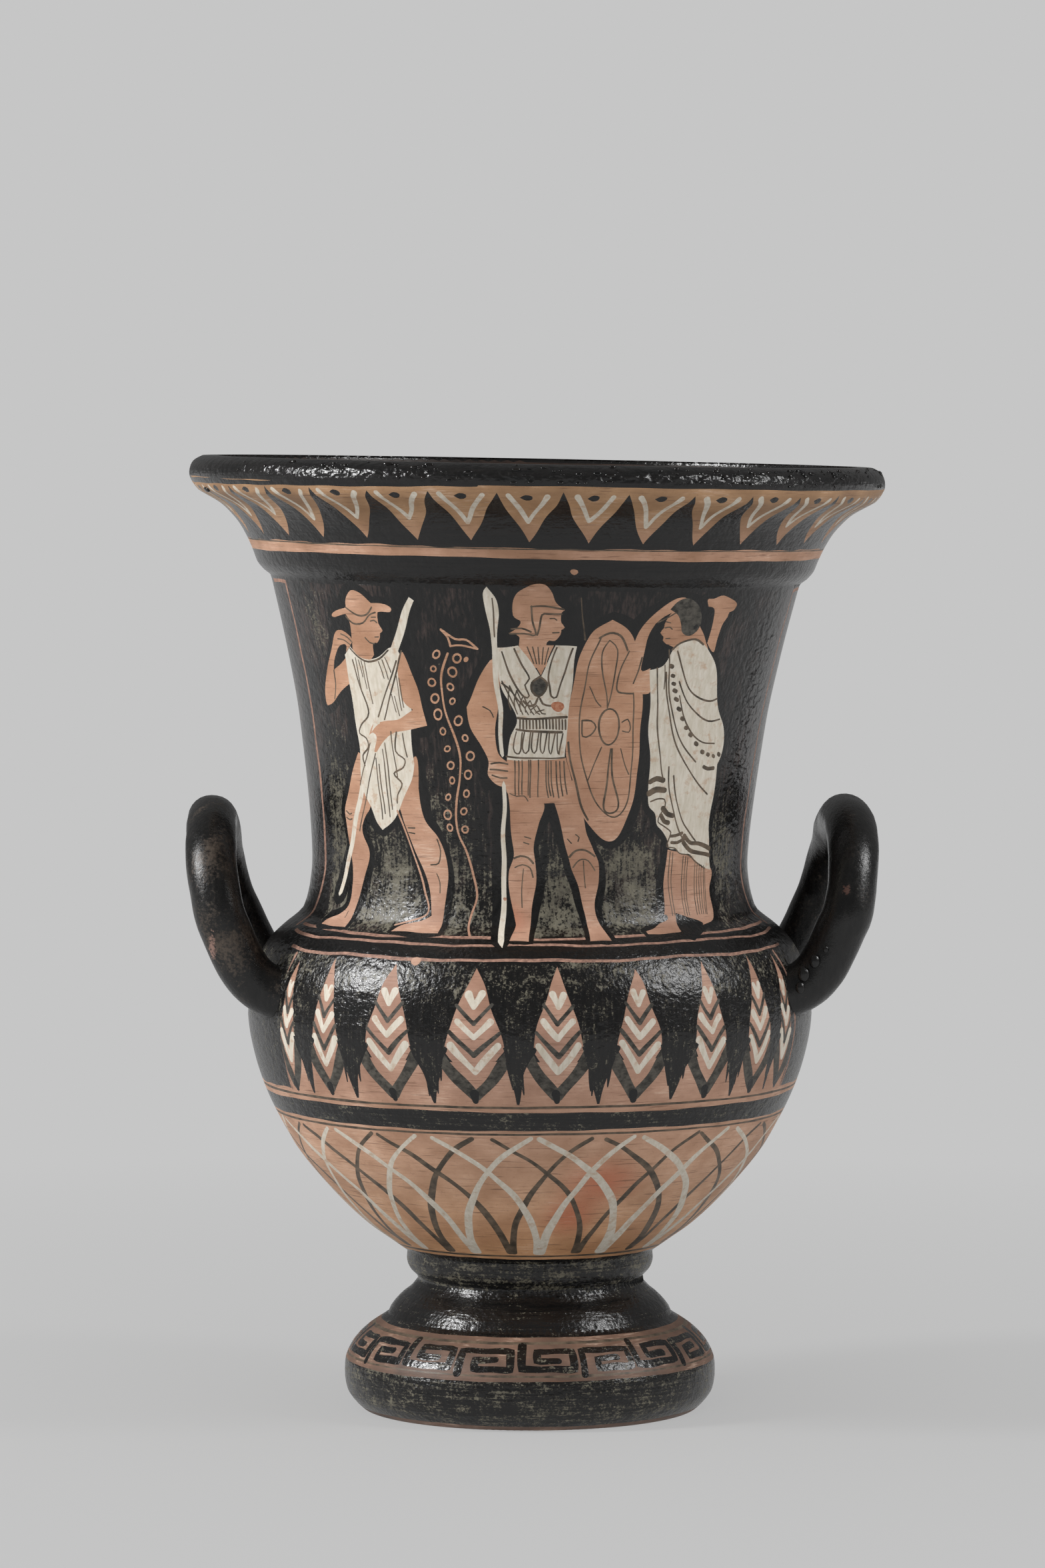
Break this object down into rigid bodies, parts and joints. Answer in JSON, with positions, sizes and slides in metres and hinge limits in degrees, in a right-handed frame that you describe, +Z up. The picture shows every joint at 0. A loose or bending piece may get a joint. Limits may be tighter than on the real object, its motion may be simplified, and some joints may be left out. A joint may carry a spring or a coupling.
{
  "type": "terracotta krater",
  "caption": "Tall painted clay krater with a trumpet neck, round belly, two upright loop handles and a moulded foot.",
  "frame": {"origin": "on the surface it stands on, under the middle of the foot", "axes": "+Z up the pot, +X through one handle and -X through the other, -Y towards the painted front"},
  "size_m": [0.2938, 0.2928, 0.4027],
  "materials": {
    "painted_terracotta": "fired clay with burnished black slip and reserved orange clay, worn"
  },
  "bodies": {
    "root": {"krater": "painted_terracotta"}
  },
  "joints": []
}
